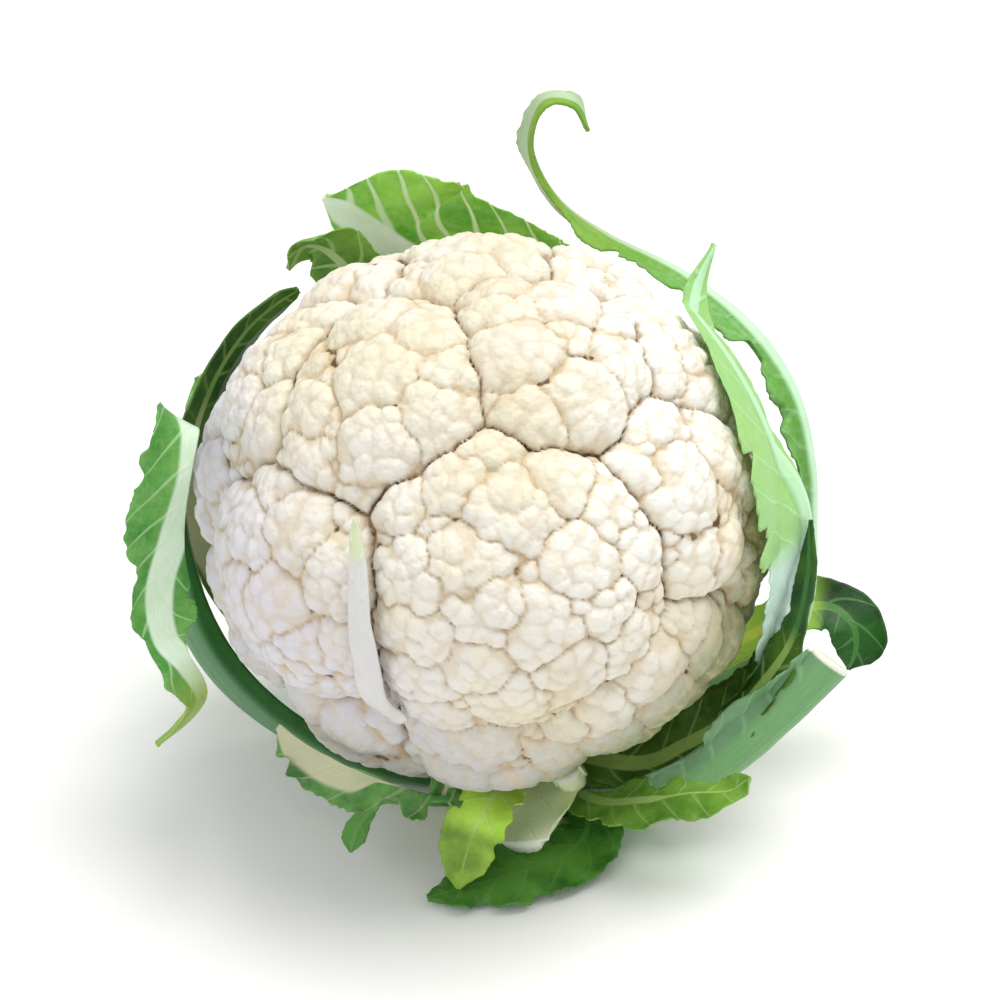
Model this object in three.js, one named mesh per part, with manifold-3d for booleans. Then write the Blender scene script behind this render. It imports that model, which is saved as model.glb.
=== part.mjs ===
// A head of cauliflower, standing on its cut stem. Millimetres, +Z up.
// The origin is the centre of the stem's cut face. -Y is the front, where the long white bract shows.
import * as THREE from "three";
import { mergeVertices } from "three/addons/utils/BufferGeometryUtils.js";
import Module from "manifold-3d";

const wasm = await Module();
wasm.setup();

// Driving dimensions.
const curdCentre = new THREE.Vector3(-6, 0, 99);
const curdRadius = new THREE.Vector3(86, 86, 80);
const curdFineness = 15; // triangles along each edge of the starting icosahedron, less one
const lobeRelief = 0.45; // share of a lobe's own roundness that shows
const floretCount = 240;
const floretNudge = 0.17; // how far a floret strays from its even place, as a share of the head's radius
const floretRound = 14; // radius of a middling floret's dome
const floretPit = 9; // deepest place between florets, before the relief's share is taken
const floretRelief = 0.5; // the same for a floret
const underRim = 50; // distance from the axis where the underside turns up towards the stem
const bractRoom = 6.5; // the hollow that the bract lies in reaches this far from its line
const stemTop = 50; // height of the flat place where the curd sits on the stem
const stemTopRadius = 27;
const branchCount = 9; // thick branches that show as ribs under the curd
const branchDepth = 12; // how strongly they show
const stemRadius = 23;
const stemLean = -6 / stemTop; // sideways shift per millimetre of height
const bladeThickness = 1;
const leastBlade = 0.8; // width that a blade keeps beside the midrib
const waveRoom = 8; // a blade this wide waves in full, a narrower one less
const leafFocus = 85; // height on the axis that the leaves' upper sides look towards
const edgeNotch = 0.22; // share of a blade's width that its edge is notched by
const layOn = 1.2; // how far from the curd's outermost skin a leaf lies at least
const bractSunk = 4.5; // how far inside that skin the bract lies
const gap = 0.35; // between two pieces that touch

// The curd's main branches: direction from its centre in degrees round from the front and up, and radius.
const lobes = [
  [8, 10, 82], [-46, 5, 55], [-46, 55, 54], [46, 66, 50], [60, 24, 48], [42, -26, 56], [5, -48, 52],
  [-42, -50, 44], [84, -2, 50], [66, -26, 46], [100, 14, 48], [82, -26, 42], [-98, 10, 48],
  [-84, -28, 46], [86, 44, 50], [-84, 40, 50], [180, 68, 54], [140, 56, 46], [-130, 50, 46],
  [140, 10, 48], [180, 22, 48], [-140, 12, 48], [125, -28, 42], [-125, -28, 42], [165, -26, 42],
  [-165, -26, 42],
];

// The line of the bract that grows up between the two front branches, from its foot to its tip.
const bractLine = [
  [-28, -67, 73], [-34, -75, 85], [-36, -77.5, 98], [-37, -76.5, 110], [-37.5, -72, 124], [-38, -66.5, 135],
];

// Each leaf runs from the stem to its tip. A station is its place, the blade's width to the left and to the
// right as seen from outside the head with the tip up, and its twist in degrees. rib and depth are the
// midrib's half width and thickness at the base and at the tip. cup is how far the edges bend inwards.
// face is where the upper side looks: towards the curd if it isn't given. aim is the share of the length
// that keeps to it, before the leaf folds or curls freely. wave is the edge's height and number of waves.
const leaves = [
  {
    name: "leaf_left_folded", colour: 0x5f9a4a, rib: [11, 2], depth: [8, 1.6], cup: 10, aim: 0.3,
    wave: [1.5, 6],
    stations: [
      [4, -2, 13, 9, 9, 0], [-24, -1, 8.2, 12, 11, 12], [-50, -8, 20, 14, 10, 30],
      [-75, -10, 41, 13, 9, 38], [-90, -4, 60, 11, 8, 45], [-95, 3, 82, 10, 8, 55],
      [-95, 4, 106, 8, 8, 75], [-91, -3, 126, 9, 8, 80], [-86, -14, 133, 15, 10, 80],
      [-87, -23, 122, 20, 11, 78], [-93, -28, 106, 17, 12, 75], [-98, -31, 90, 11, 14, 75],
      [-97, -34, 76, 7, 13, 70], [-91, -36, 68, 10, 4, 65], [-87, -37, 58, 8, 3, 60],
      [-93, -37, 48, 3, 3, 60], [-100, -37, 41, 1.5, 2, 60],
    ],
  },
  {
    name: "leaf_left_upper", colour: 0x4f8a35, rib: [10, 2], depth: [6, 2], cup: 20, aim: 1, wave: [1.5, 4],
    stations: [
      [1, 8, 30, 8, 8, 0], [-32, 22, 20, 12, 12, 0], [-75, 28, 42, 12, 12, -10], [-95, 27, 78, 10, 8, -25],
      [-93, 24, 106, 12, 7, -40], [-86, 27, 126, 16, 6, -40], [-77, 33, 139, 15, 5, -40],
      [-69, 39, 145, 10, 3, -40], [-61, 46, 148, 4, 2, -40],
    ],
  },
  {
    name: "leaf_back_small", colour: 0x2f7a24, rib: [8, 2], depth: [5, 1.6], cup: 15, aim: 1, wave: [2, 5],
    stations: [
      [-1, 14, 22, 7, 7, 0], [-21, 52, 20, 10, 10, 0], [-41, 80, 56, 12, 12, 0], [-45, 82, 105, 13, 12, 0],
      [-47, 75, 136, 15, 12, 0], [-53, 72, 148, 13, 11, 0], [-61, 71, 151, 8, 9, 0], [-66, 69, 144, 3, 4, 0],
    ],
  },
  {
    name: "leaf_back_top", colour: 0x66a83c, rib: [10, 5], depth: [7, 4], cup: 12, aim: 1, wave: [2, 5],
    stations: [
      [3, 12, 20, 8, 8, 0], [3, 54, 18, 14, 14, 0], [2, 92, 46, 24, 14, 0],
      [-4, 100, 84, 34, 12, 0], [-13, 97, 113, 48, 12, 0], [-25, 91, 134, 46, 12, 0],
      [-36, 88, 144, 40, 11, 0], [-46, 86, 153, 31, 9, 0], [-56, 86, 161, 12, 6, 0],
    ],
  },
  {
    name: "leaf_right_outer", colour: 0x9ccf9a, rib: [10, 1.4], depth: [7, 1.4], cup: 20, aim: 0.68,
    wave: [1.5, 9],
    stations: [
      [8, 8, 12, 9, 9, 0], [46, 22, 12, 11, 11, 0], [76, 24, 24, 12, 10, 0], [87, 18, 43, 10, 8, 0],
      [90, 12, 64, 9, 7, 0], [89, 10, 88, 9, 6, -10], [87, 9, 110, 12, 5, -15],
      [82, 15, 129, 14, 5, -20], [71, 26, 143, 13, 4, -25], [53, 43, 152, 12, 3, -25],
      [30, 62, 157, 10, 3, -20], [15, 70, 166, 6, 3, -10], [7, 73, 182, 3, 6, 0],
      [11, 73, 197, 6, 4, 0], [21, 73, 197, 3, 4, 0], [26, 73, 188, 2, 3, 0],
    ],
  },
  {
    name: "leaf_right_inner", colour: 0xa5d77e, rib: [7, 1], depth: [4, 1.2], cup: 30, aim: 1,
    wave: [0.8, 7],
    stations: [
      [10, -4, 34, 8, 8, 0], [46, -12, 32, 10, 10, 0], [69, -19, 48, 14, 9, 0], [78, -18, 69, 16, 7, -5],
      [83, -17, 88, 24, 6, -10], [85, -16, 102, 32, 5, -15], [82, -16, 114, 36, 6, -20],
      [75, -15, 125, 35, 8, -25], [66, -11, 135, 28, 13, -30], [58, -5, 144, 18, 14, -35],
      [53, 3, 153, 9, 10, -35], [54, 13, 163, 4, 5, -20], [59, 20, 174, 1.5, 2, 0],
    ],
  },
  {
    name: "leaf_right_cut", colour: 0x86b58c, rib: [11, 9.5], depth: [8, 6], cup: -25, aim: 1,
    wave: [1.5, 3],
    stations: [
      [8, -2, 14, 11, 11, -20], [36, -20, 15, 12, 11, -35], [58, -32, 31, 18, 11, -45],
      [77, -31, 49, 20, 11, -45], [93, -27, 66, 11, 11, -45],
    ],
  },
  {
    name: "leaf_right_blade", colour: 0x4d8a2c, rib: [5, 1.2], depth: [4, 1.4], cup: 10, aim: 1,
    wave: [1.5, 4],
    stations: [
      [8, -8, 22, 6, 5, 20], [38, -24, 25, 10, 10, 40], [54, -29, 36, 12, 14, 50], [67, -31, 48, 12, 13, 50],
      [77, -30, 62, 9, 9, 50], [83, -28, 74, 6, 7, 45], [86, -25, 91, 4, 5, 45], [86, -20, 107, 1.5, 2, 45],
    ],
  },
  {
    name: "leaf_right_far", colour: 0x3c7f45, rib: [8, 1.4], depth: [6, 1.6], cup: 25, aim: 0.4, wave: [1, 3],
    stations: [
      [8, 8, 24, 8, 8, 0], [54, 24, 27, 10, 10, 0], [79, 26, 38, 10, 10, 0], [93, 22, 50, 10, 10, 0],
      [102, 20, 52, 10, 10, 0], [108, 15, 49, 10, 10, 0], [109, 11, 43, 9, 9, 0], [107, 9, 36, 3, 4, 0],
    ],
  },
  {
    name: "leaf_low_right", colour: 0x6ba03c, rib: [4, 1], depth: [3.5, 1.2], cup: 12, aim: 1, wave: [1.5, 4],
    face: [0, -0.5, 1],
    stations: [
      [8, -8, 16, 6, 5, 0], [26, -29, 16, 8, 8, 0], [40, -43, 26, 11, 8, 0], [53, -50, 34, 10, 6, 0],
      [64, -54, 38, 7, 5, 0], [69, -56, 44, 2, 3, 0],
    ],
  },
  {
    name: "leaf_low_front", colour: 0x2f6f38, rib: [4, 1], depth: [3, 1.2], cup: 8, aim: 1, wave: [1.2, 6],
    face: [0, -0.2, 1],
    stations: [
      [12, -8, 8, 6, 6, 0], [25, -27, 7, 10, 12, 0], [21, -40, 6, 13, 14, 0], [9, -49, 6, 14, 13, 0],
      [-7, -55, 5, 10, 11, 0], [-22, -60, 4, 4, 4, 0],
    ],
  },
  {
    name: "leaf_low_yellow", colour: 0xa6cc3a, rib: [4, 1.2], depth: [3, 1.2], cup: 14, aim: 1,
    wave: [1.2, 3],
    face: [0, -0.7, 0.7],
    stations: [
      [7, -12, 24, 6, 6, 0], [2, -30, 26, 8, 8, 0], [-2, -43, 29, 10, 10, 0], [-7, -52, 26, 11, 10, 0],
      [-11, -57, 16, 9, 8, 0], [-13, -59, 6, 3, 4, 0],
    ],
  },
  {
    name: "leaf_low_left", colour: 0xb9c9a0, rib: [4, 4], depth: [3, 2.4], cup: 12, aim: 1, wave: [2.2, 5],
    face: [-0.1, -0.75, 0.6],
    stations: [
      [3, -8, 24, 6, 6, 0], [-8, -35, 28, 5, 5, 0], [-20, -53, 39, 7, 6, 0],
      [-33, -60, 46, 12, 9, 0], [-49, -57, 49, 12, 10, 0], [-64, -45, 54, 8, 9, 0],
    ],
  },
  {
    name: "leaf_low_tail", colour: 0x4a8a3a, rib: [2.6, 1.2], depth: [2.4, 1.2], cup: 15, aim: 1,
    wave: [1, 3],
    face: [0.2, 0.7, 0.6],
    stations: [
      [3, -14, 14, 4, 4, 0], [-12, -34, 20, 4, 4, 0], [-26, -49, 31, 4, 4, 0], [-35, -53, 34, 4, 4, 0],
      [-41, -55, 28, 4, 4, 0], [-44, -56, 18, 3.5, 3.5, 0],
    ],
  },
  {
    name: "stub_front", colour: 0xc5d3a0, rib: [10, 7], depth: [8, 5], cup: 10, aim: 1, wave: [0, 1],
    stations: [[11, -10, 20, 13, 12, 0], [11, -32, 17, 14, 13, 0], [5, -46, 13, 11, 11, 0]],
  },
  {
    name: "stub_front_small", colour: 0xc5d3a0, rib: [5, 4], depth: [5, 4], cup: 5, aim: 1, wave: [0, 1],
    stations: [[14, -10, 22, 5, 5, 0], [20, -27, 22, 5, 5, 0], [18, -34, 30, 4.5, 4.5, 0]],
  },
];

// The leaves behind the head: degrees round from the front, height of the tip and how far it leans out.
const backLeaves = [[140, 108, 10], [162, 116, 16], [-162, 124, 6], [-126, 112, 18]];
backLeaves.forEach(([turn, top, lean], i) => {
  const outX = Math.sin(turn * Math.PI / 180);
  const outY = -Math.cos(turn * Math.PI / 180);
  const at = (reach, height, left, right) => [
    curdCentre.x * Math.min(1, height / 60) + outX * reach, outY * reach, height, left, right, 0,
  ];
  leaves.push({
    name: "leaf_back_" + (i + 1), colour: 0x79ad6b, rib: [12, 4], depth: [8, 3], cup: 22, aim: 1,
    wave: [2, 5],
    coarse: true,
    stations: [
      at(8, 14, 9, 9), at(40, 12, 13, 13), at(78, 26, 17, 17), at(95, 60, 22, 22), at(94, 94, 25, 24),
      at(90 + lean, top, 14, 16),
    ],
  });
});

// A closed three.js geometry as a solid, and back.
function toSolid(geometry) {
  const bare = geometry.clone();
  bare.deleteAttribute("normal");
  bare.deleteAttribute("uv");
  const merged = mergeVertices(bare, 1e-4);
  return new wasm.Manifold(
    new wasm.Mesh({
      numProp: 3,
      vertProperties: new Float32Array(merged.attributes.position.array),
      triVerts: new Uint32Array(merged.index.array),
    }),
  );
}

function toGeometry(solid) {
  const mesh = solid.getMesh();
  return new THREE.BufferGeometry()
    .setAttribute("position", new THREE.BufferAttribute(mesh.vertProperties, 3))
    .setIndex(new THREE.BufferAttribute(mesh.triVerts, 1));
}

const scatter = (i, k) => {
  const x = Math.sin(i * 12.9898 + k * 78.233) * 43758.5453;
  return x - Math.floor(x);
};

// A unit direction from degrees round from the front and degrees up.
function direction(turn, rise) {
  const a = turn * Math.PI / 180;
  const e = rise * Math.PI / 180;
  return new THREE.Vector3(Math.sin(a) * Math.cos(e), -Math.cos(a) * Math.cos(e), Math.sin(e));
}

// Florets spread evenly over the sphere in a spiral, each nudged a little.
function floretDirections() {
  const golden = Math.PI * (3 - Math.sqrt(5));
  return Array.from({ length: floretCount }, (_, i) => {
    const z = 1 - (2 * i + 1) / floretCount;
    const r = Math.sqrt(1 - z * z);
    const a = i * golden;
    const nudge = new THREE.Vector3(scatter(i, 1) - 0.5, scatter(i, 2) - 0.5, scatter(i, 3) - 0.5);
    return new THREE.Vector3(r * Math.cos(a), r * Math.sin(a), z)
      .addScaledVector(nudge, floretNudge).normalize();
  });
}

// How far a round dome of this radius has dropped at a distance from its top, as a negative height.
const domeDrop = (radius, distance) => Math.sqrt(Math.max(radius ** 2 - distance ** 2, 0)) - radius;

// The curd: an icosahedron's fine surface, drawn out to the head's size, then pressed in between branches
// and florets. Each floret belongs to the branch it grows on and stops where the next branch rises.
function makeCurd() {
  const ball = new THREE.IcosahedronGeometry(1, curdFineness);
  ball.deleteAttribute("normal");
  ball.deleteAttribute("uv");
  const geometry = mergeVertices(ball, 1e-4);
  const place = geometry.attributes.position;
  const onHead = (n) => n.clone().multiply(curdRadius);
  const branches = lobes.map(([turn, rise, radius]) => (
    { top: onHead(direction(turn, rise)), radius, florets: [] }
  ));
  const branchDrop = ({ top, radius }, p) => {
    const away = p.distanceTo(top);
    return domeDrop(radius, away) - Math.max(0, away - radius);
  };
  floretDirections().forEach((n, i) => {
    const top = onHead(n);
    const drops = branches.map((branch) => branchDrop(branch, top));
    const radius = floretRound * (0.8 + 0.5 * scatter(i, 4));
    branches[drops.indexOf(Math.max(...drops))].florets.push({ top, radius });
  });
  const bractPoints = new THREE.CatmullRomCurve3(
    bractLine.map((q) => new THREE.Vector3(...q).sub(curdCentre)),
  ).getPoints(40);
  for (let i = 0; i < place.count; i++) {
    const p = onHead(new THREE.Vector3().fromBufferAttribute(place, i).normalize());
    const out = p.clone().divide(curdRadius).divide(curdRadius).normalize();
    const reach = Math.hypot(p.x, p.y);
    const under = p.z < 0 ? 1 - THREE.MathUtils.smoothstep(reach, stemTopRadius, underRim) : 0;
    const heights = branches.map((branch) => {
      const domes = branch.florets.map(({ top, radius }) => domeDrop(radius, p.distanceTo(top)));
      return lobeRelief * branchDrop(branch, p) + floretRelief * Math.max(...domes, -floretPit);
    });
    p.addScaledVector(out, Math.max(...heights) * (1 - under));
    if (under === 0) {
      p.addScaledVector(out, -Math.max(0, bractRoom - Math.min(...bractPoints.map((q) => q.distanceTo(p)))));
    }
    const rib = branchDepth * Math.cos(branchCount * Math.atan2(p.y, p.x)) * under * (1 - under);
    p.z += (stemTop - curdCentre.z - p.z) * under + rib;
    place.setXYZ(i, p.x + curdCentre.x, p.y + curdCentre.y, p.z + curdCentre.z);
  }
  return geometry;
}

// The stem, cut flat below, leaning towards the curd.
function makeStem() {
  const profile = [
    [0, 0], [stemRadius - 1, 0], [stemRadius, 1.5], [stemRadius + 1, 10], [stemRadius - 2, 22],
    [stemRadius - 1, 36], [stemTopRadius - 2, stemTop - 4], [stemTopRadius - 1, stemTop - gap],
    [0, stemTop - gap],
  ].map(([r, z]) => new THREE.Vector2(r, z));
  const geometry = new THREE.LatheGeometry(profile, 28);
  geometry.rotateX(Math.PI / 2);
  const place = geometry.attributes.position;
  for (let i = 0; i < place.count; i++) place.setX(i, place.getX(i) + stemLean * place.getZ(i));
  return geometry;
}

// A place moved out of the curd, if it is in it, so that a leaf lies on the curd instead of cutting into it.
function outsideCurd(p, spare = layOn) {
  const from = p.clone().sub(curdCentre);
  if (from.z < 0 && Math.hypot(from.x, from.y) < underRim) return p;
  const depth = from.clone().divide(curdRadius.clone().addScalar(spare)).length();
  return depth < 1 ? from.divideScalar(depth).add(curdCentre) : p;
}

// A leaf as one closed sheet: a grid of points on its inner face, the same on its outer face, and the rim.
// grow makes it that much thicker all round.
function makeLeaf(leaf, grow = 0) {
  const { stations, rib, depth, cup, aim, wave } = leaf;
  const spine = new THREE.CatmullRomCurve3(
    stations.map((s) => new THREE.Vector3(s[0], s[1], s[2])), false, "catmullrom", 0.5,
  );
  const sizes = new THREE.CatmullRomCurve3(
    stations.map((s) => new THREE.Vector3(s[3], s[4], s[5])), false, "catmullrom", 0.5,
  );
  const widest = Math.max(...stations.map((s) => Math.max(s[3], s[4])));
  const outerColumns = widest > 12 ? 2 : 1;
  const ribColumns = depth[0] > 4 ? 2 : 1;
  const half = ribColumns + outerColumns; // columns on each side of the midrib's crest
  const columns = 2 * half + 1;
  const rows = (leaf.coarse ? 1 : 2) * (stations.length - 1);
  const inner = [];
  const outer = [];
  let facing = null;
  for (let i = 0; i <= rows; i++) {
    const t = i / rows;
    const along = spine.getTangent(t);
    const past = i === 0 ? -grow : i === rows ? grow : 0;
    const centre = spine.getPoint(t).addScaledVector(along, past);
    const [leftWidth, rightWidth, twist] = sizes.getPoint(t).toArray();
    const inwards = curdCentre.clone().setZ(leafFocus).sub(centre);
    const wanted = leaf.face ? new THREE.Vector3(...leaf.face) : inwards;
    if (facing === null || t <= aim) facing = wanted;
    facing = facing.clone().addScaledVector(along, -facing.dot(along)).normalize();
    const side = new THREE.Vector3().crossVectors(along, facing);
    const roll = twist * Math.PI / 180;
    const normal = facing.clone().multiplyScalar(Math.cos(roll)).addScaledVector(side, Math.sin(roll));
    const left = new THREE.Vector3().crossVectors(along, normal);
    const taper = t ** 0.7;
    const ribHalf = THREE.MathUtils.lerp(rib[0], rib[1], taper);
    const deep = THREE.MathUtils.lerp(depth[0], depth[1], taper);
    const bend = cup * Math.PI / 180;
    for (let j = 0; j < columns; j++) {
      const k = half - j;
      const hand = Math.sign(k);
      const step = Math.abs(k);
      const edge = Math.max(0, step - ribColumns) / outerColumns;
      const notch = 1 - (edge === 1 ? edgeNotch * scatter(i, hand + leaf.name.length) : 0);
      const width = Math.max((hand > 0 ? leftWidth : rightWidth) * notch, ribHalf + leastBlade) + grow;
      const reach = edge > 0 ? ribHalf + (width - ribHalf) * edge : ribHalf * step / ribColumns;
      const turned = bend * reach / width;
      const ripple = wave[0] * edge ** 2 * Math.sin(2 * Math.PI * wave[1] * t + hand);
      const shown = Math.min(1, (width - ribHalf) / waveRoom);
      const lift = width / bend * (1 - Math.cos(turned)) + ripple * shown;
      const faceIn = normal.clone().multiplyScalar(Math.cos(turned))
        .addScaledVector(left, -hand * Math.sin(turned));
      const body = step < ribColumns ? (deep - bladeThickness) * Math.sqrt(1 - (step / ribColumns) ** 2) : 0;
      const across = hand * width / bend * Math.sin(turned);
      const bent = centre.clone().addScaledVector(left, across).addScaledVector(normal, lift);
      const point = outsideCurd(bent, leaf.layOn);
      inner.push(point.clone().addScaledVector(faceIn, grow));
      outer.push(point.clone().addScaledVector(faceIn, -bladeThickness - body - grow));
    }
  }
  const under = inner.length;
  const index = [];
  const quad = (a, b, c, d) => index.push(a, b, c, a, c, d);
  for (let i = 0; i < rows; i++) {
    for (let j = 0; j < columns - 1; j++) {
      const a = i * columns + j;
      const b = a + columns;
      quad(a, b, b + 1, a + 1);
      index.push(under + a, under + b + 1, under + b, under + a, under + a + 1, under + b + 1);
    }
    const first = i * columns;
    const last = first + columns - 1;
    quad(first, under + first, under + first + columns, first + columns);
    quad(last, last + columns, under + last + columns, under + last);
  }
  for (let j = 0; j < columns - 1; j++) {
    const a = rows * columns + j;
    quad(j, j + 1, under + j + 1, under + j);
    quad(a + 1, a, under + a, under + a + 1);
  }
  return new THREE.BufferGeometry().setFromPoints([...inner, ...outer]).setIndex(index);
}

const bractWidths = [3, 3.8, 4, 3.6, 2.6, 1.2]; // to each side, from its foot to its tip
const bract = {
  name: "bract", colour: 0xf0f1e2, rib: [2, 0.8], depth: [1.6, 1], cup: 12, aim: 1, wave: [0, 1],
  layOn: -bractSunk,
  stations: bractLine.map((point, i) => [...point, bractWidths[i], bractWidths[i], 0]),
};

const head = new THREE.Group();
const taken = []; // solids already placed, each a little thicker than the piece itself

// Adds a piece after cutting it clear of every piece before it. Only its largest part is kept.
function place(name, colour, roughness, solid, thicker) {
  let clear = solid;
  for (const other of taken) {
    if (clear.intersect(other).volume() > 0) clear = clear.subtract(other);
  }
  const parts = clear.decompose().sort((a, b) => b.volume() - a.volume());
  const mesh = new THREE.Mesh(
    toGeometry(parts[0]), new THREE.MeshStandardMaterial({ color: colour, roughness, metalness: 0 }),
  );
  mesh.name = name;
  head.add(mesh);
  taken.push(thicker.add(parts[0]));
}

const curdSolid = toSolid(makeCurd());
const growth = 1 + 1.4 * gap / curdRadius.z; // opens the gap on the skin's slopes too
const about = curdCentre.toArray();
place("curd", 0xf3ead2, 0.6, curdSolid,
  curdSolid.translate(about.map((x) => -x)).scale(growth).translate(about));
const stemSolid = toSolid(makeStem());
place("stem", 0xc9d8a4, 0.5, stemSolid, stemSolid.scale([1 + gap / stemRadius, 1 + gap / stemRadius, 1]));
for (const leaf of [bract, ...leaves]) {
  place(leaf.name, leaf.colour, 0.5, toSolid(makeLeaf(leaf)), toSolid(makeLeaf(leaf, gap)));
}

export default head;
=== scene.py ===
import math

import bmesh
import bpy
import numpy as np
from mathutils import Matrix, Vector, kdtree, noise


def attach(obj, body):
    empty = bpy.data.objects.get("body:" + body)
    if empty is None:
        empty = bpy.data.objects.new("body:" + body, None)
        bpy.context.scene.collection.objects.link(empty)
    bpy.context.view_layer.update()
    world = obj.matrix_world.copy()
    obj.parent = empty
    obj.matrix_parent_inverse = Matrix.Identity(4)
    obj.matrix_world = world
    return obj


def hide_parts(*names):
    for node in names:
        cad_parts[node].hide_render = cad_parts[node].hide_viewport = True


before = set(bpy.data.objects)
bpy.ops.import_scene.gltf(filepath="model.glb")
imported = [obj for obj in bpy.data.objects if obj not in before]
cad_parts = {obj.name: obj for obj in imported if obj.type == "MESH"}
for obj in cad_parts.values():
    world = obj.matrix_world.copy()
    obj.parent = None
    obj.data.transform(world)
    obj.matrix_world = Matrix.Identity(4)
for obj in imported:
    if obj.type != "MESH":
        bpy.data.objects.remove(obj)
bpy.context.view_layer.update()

# Lengths below are in millimetres, as in the model's source, and turn into metres where a mesh is written.
mm = 0.001
headMiddle = np.array([-6.0, 0.0, 99.0])
headRadius = np.array([86.0, 86.0, 80.0])


# Shared formulas

def scatter(i, k):
    x = np.sin(i * 12.9898 + k * 78.233) * 43758.5453
    return x - np.floor(x)


def smoothStep(x, low, high):
    x = np.clip((x - low) / (high - low), 0, 1)
    return x * x * (3 - 2 * x)


def unit(v):
    return v / np.linalg.norm(v, axis=-1, keepdims=True)


def dot(a, b):
    return np.sum(a * b, axis=-1, keepdims=True)


def domeDrop(radius, distance):
    return np.sqrt(np.maximum(radius ** 2 - distance ** 2, 0)) - radius


def spiral(count, nudge, seed):
    # count directions spread evenly over a sphere, each pushed a little
    i = np.arange(count)
    z = 1 - (2 * i + 1) / count
    a = i * math.pi * (3 - math.sqrt(5))
    r = np.sqrt(1 - z * z)
    push = np.stack([scatter(i, seed + k) - 0.5 for k in (1, 2, 3)], axis=1)
    return unit(np.stack([r * np.cos(a), r * np.sin(a), z], axis=1) + nudge * push)


def noiseAt(points, size, seed):
    # soft noise from -1 to 1 with lumps of about this size
    offset = Vector((seed * 17.3, seed * 5.9, seed * 11.1))
    return np.array([noise.noise(Vector(p) / size + offset) for p in points])


def throughPoints(points, t):
    # a smooth curve through the points, which are evenly spaced in t
    p = np.asarray(points, float)
    ends = np.vstack([2 * p[0] - p[1], p, 2 * p[-1] - p[-2]])
    along = np.clip(t, 0, 1) * (len(p) - 1)
    i = np.minimum(along.astype(int), len(p) - 2)
    w = (along - i)[:, None]
    m0 = 0.5 * (ends[i + 2] - ends[i])
    m1 = 0.5 * (ends[i + 3] - ends[i + 1])
    a, b = ends[i + 1], ends[i + 2]
    return (2 * a - 2 * b + m0 + m1) * w ** 3 + (3 * b - 3 * a - 2 * m0 - m1) * w ** 2 + m0 * w + a


def getPlaces(mesh):
    co = np.empty(len(mesh.vertices) * 3)
    mesh.vertices.foreach_get("co", co)
    return co.reshape(-1, 3)


def setPlaces(mesh, places):
    mesh.vertices.foreach_set("co", (places * mm).ravel())
    mesh.update()


def paint(mesh, name, values):
    # stores one number for each vertex, for the material to read
    layer = mesh.attributes.new(name, "FLOAT", "POINT")
    layer.data.foreach_set("value", np.asarray(values, np.float32))


def finishPiece(bm, name):
    mesh = bpy.data.meshes.new(name)
    bm.to_mesh(mesh)
    bm.free()
    mesh.polygons.foreach_set("use_smooth", [True] * len(mesh.polygons))
    piece = bpy.data.objects.new(name, mesh)
    bpy.context.scene.collection.objects.link(piece)
    return piece


def standFor(piece, node):
    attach(piece, "root")
    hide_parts(node)


# Material helpers

def newMaterial(name):
    material = bpy.data.materials.new(name)
    material.use_nodes = True
    return material, material.node_tree.nodes, material.node_tree.links


def addNode(nodes, kind, **values):
    node = nodes.new(kind)
    for key, value in values.items():
        setattr(node, key, value)
    return node


def newGroup(name, inputs, outputs):
    group = bpy.data.node_groups.new(name, "ShaderNodeTree")
    for label, kind, value in inputs:
        socket = group.interface.new_socket(label, in_out="INPUT", socket_type=kind)
        if value is not None:
            socket.default_value = value
    for label, kind in outputs:
        group.interface.new_socket(label, in_out="OUTPUT", socket_type=kind)
    start = group.nodes.new("NodeGroupInput")
    end = group.nodes.new("NodeGroupOutput")
    return group, start, end


def mathNode(tree, operation, *terms):
    # each term is a socket or a number
    node = addNode(tree.nodes, "ShaderNodeMath", operation=operation)
    for socket, term in zip(node.inputs, terms):
        if isinstance(term, (int, float)):
            socket.default_value = term
        else:
            tree.links.new(term, socket)
    return node.outputs[0]


def rampNode(tree, value, low, high, fromValue=0.0, toValue=1.0):
    node = addNode(tree.nodes, "ShaderNodeMapRange", interpolation_type="SMOOTHSTEP")
    tree.links.new(value, node.inputs["Value"])
    for label, number in zip(("From Min", "From Max", "To Min", "To Max"), (low, high, fromValue, toValue)):
        node.inputs[label].default_value = number
    return node.outputs[0]


def mixColour(tree, share, first, second, blend="MIX"):
    # first and second are a socket or a colour
    node = addNode(tree.nodes, "ShaderNodeMix", data_type="RGBA", blend_type=blend)
    for label, term in zip((0, 6, 7), (share, first, second)):
        if isinstance(term, (int, float)):
            node.inputs[label].default_value = term
        elif isinstance(term, tuple):
            node.inputs[label].default_value = (*term, 1)
        else:
            tree.links.new(term, node.inputs[label])
    return node.outputs[2]


def readAttribute(tree, name):
    return addNode(tree.nodes, "ShaderNodeAttribute", attribute_name=name).outputs["Fac"]


def noiseNode(tree, vector, scale, detail=3.0, roughness=0.55):
    node = addNode(tree.nodes, "ShaderNodeTexNoise")
    tree.links.new(vector, node.inputs["Vector"])
    node.inputs["Scale"].default_value = scale
    node.inputs["Detail"].default_value = detail
    node.inputs["Roughness"].default_value = roughness
    return node.outputs["Fac"]


def bumpNode(tree, height, strength, distance, normal=None):
    node = addNode(tree.nodes, "ShaderNodeBump")
    node.inputs["Strength"].default_value = strength
    node.inputs["Distance"].default_value = distance
    tree.links.new(height, node.inputs["Height"])
    if normal is not None:
        tree.links.new(normal, node.inputs["Normal"])
    return node.outputs["Normal"]


# Camera, lights and floor

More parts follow.
